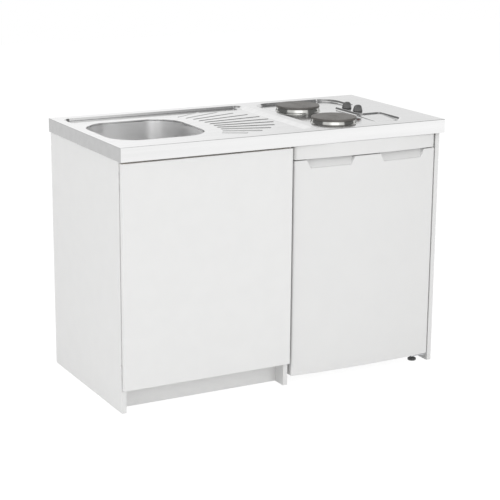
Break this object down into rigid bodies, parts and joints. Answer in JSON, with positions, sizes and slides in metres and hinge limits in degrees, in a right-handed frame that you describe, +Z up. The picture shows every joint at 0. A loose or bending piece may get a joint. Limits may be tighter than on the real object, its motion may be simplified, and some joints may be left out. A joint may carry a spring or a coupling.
{
  "type": "kitchenette unit",
  "caption": "Fitted kitchenette with a pressed steel worktop, sink bowl and ribbed drainer, electric plates with knobs, a cupboard and an under-counter fridge.",
  "frame": {"origin": "on the floor, at the middle of the unit's width and depth", "axes": "+X to the right seen from the front, +Y to the wall behind, +Z up"},
  "size_m": [1.2, 0.6, 0.8855],
  "materials": {
    "stainless": "satin stainless sheet, finely brushed",
    "chipboard": "raw chipboard",
    "laminate": "white melamine laminate, matte",
    "door_laminate": "white melamine laminate, satin",
    "hardboard": "white lacquered hardboard",
    "zinc_steel": "zinc plated steel",
    "white_plastic": "moulded polypropylene, satin",
    "dark_plastic": "moulded nut with rubber seal",
    "grey_rubber": "soft grey, matte",
    "cast_plate": "turned cast iron, matte",
    "bright_ring": "polished stainless ring",
    "switch_body": "moulded switch body",
    "black_knob": "black, satin",
    "red_lens": "red lens, gloss",
    "fridge_enamel": "white coated, gloss",
    "fridge_door_enamel": "white coated steel skin, fine texture",
    "fascia_plastic": "moulded, satin",
    "fridge_plastic": "vacuum formed liner, gloss",
    "anodised_aluminium": "anodised, satin",
    "clear_plastic": "clear moulded, gloss",
    "shelf_glass": "float glass with a moulded front edge",
    "grey_plastic": "moulded, satin",
    "black_enamel": "black enamel, satin",
    "foot_plastic": "black nylon, matte"
  },
  "bodies": {
    "unit": {"worktop": "stainless", "drainer_sheet": "stainless", "worktop_core": "chipboard", "sink_bowl": "stainless", "waste_flange": "stainless", "waste_nut": "dark_plastic", "bottle_trap": "white_plastic", "trap_cup": "white_plastic", "outlet_pipe": "white_plastic", "side_panel_left": "laminate", "side_panel_middle": "laminate", "side_panel_right": "laminate", "cabinet_floor": "laminate", "cabinet_back": "hardboard", "front_rail": "laminate", "back_rail": "laminate", "bay_back_rail": "laminate", "shelf": "laminate", "shelf_pins": "zinc_steel", "plinth": "laminate", "corner_brackets": "zinc_steel", "bracket_screws": "zinc_steel", "fixed_hinge_leaves": "zinc_steel", "hinge_pins": "zinc_steel", "door_catch": "white_plastic", "hotplates": "cast_plate", "spill_rings": "bright_ring", "hotplate_clamps": "zinc_steel", "hob_undertray": "zinc_steel", "knob_switches": "switch_body", "pilot_lamp": "red_lens", "fridge_cabinet": "fridge_enamel", "fridge_liner": "fridge_plastic", "fridge_fascia": "fascia_plastic", "freezer_box": "anodised_aluminium", "fridge_shelf": "shelf_glass", "crisper_bin": "clear_plastic", "crisper_lid": "shelf_glass", "thermostat_housing": "fridge_plastic", "compressor": "black_enamel", "compressor_tray": "zinc_steel", "condenser": "black_enamel", "fridge_feet": "foot_plastic", "fridge_brackets": "zinc_steel", "lower_hinge_bracket": "zinc_steel", "upper_hinge_bracket": "zinc_steel"},
    "cupboard_door_leaf": {"cabinet_door": "door_laminate", "door_hinge_leaves": "zinc_steel", "strike_plate": "zinc_steel", "door_buffers": "grey_rubber"},
    "fridge_door_leaf": {"fridge_door": "fridge_door_enamel", "fridge_door_liner": "fridge_plastic", "door_gasket": "grey_rubber", "door_balconies": "clear_plastic", "hinge_bushes": "grey_plastic"},
    "rear_control": {"rear_knob": "black_knob"},
    "front_control": {"front_knob": "black_knob"},
    "thermostat_control": {"thermostat_knob": "grey_plastic"},
    "freezer_flap_leaf": {"freezer_flap": "clear_plastic"},
    "strainer": {"strainer_basket": "stainless"}
  },
  "joints": [
    {"name": "cupboard_door_hinge", "type": "hinge", "parent": "unit", "child": "cupboard_door_leaf", "pos_m": [-0.5972, -0.27675, 0.4465], "axis": [0, 0, -1], "range_deg": [0, 170]},
    {"name": "fridge_door_hinge", "type": "hinge", "parent": "unit", "child": "fridge_door_leaf", "pos_m": [0.553, -0.268, 0.4], "axis": [0, 0, 1], "range_deg": [0, 110]},
    {"name": "rear_knob_turn", "type": "hinge", "parent": "unit", "child": "rear_control", "pos_m": [0.42, 0.044, 0.865], "axis": [0, 0, -1], "range_deg": [0, 300]},
    {"name": "front_knob_turn", "type": "hinge", "parent": "unit", "child": "front_control", "pos_m": [0.42, -0.028, 0.865], "axis": [0, 0, -1], "range_deg": [0, 300]},
    {"name": "thermostat_turn", "type": "hinge", "parent": "unit", "child": "thermostat_control", "pos_m": [0.5055, -0.09, 0.55], "axis": [1, 0, 0], "range_deg": [0, 270]},
    {"name": "freezer_flap_hinge", "type": "hinge", "parent": "unit", "child": "freezer_flap_leaf", "pos_m": [0.2945, -0.083, 0.734], "axis": [-1, 0, 0], "range_deg": [0, 85]},
    {"name": "strainer_lift", "type": "slide", "parent": "unit", "child": "strainer", "axis": [0, 0, 1], "range_m": [0, 0.06]}
  ]
}
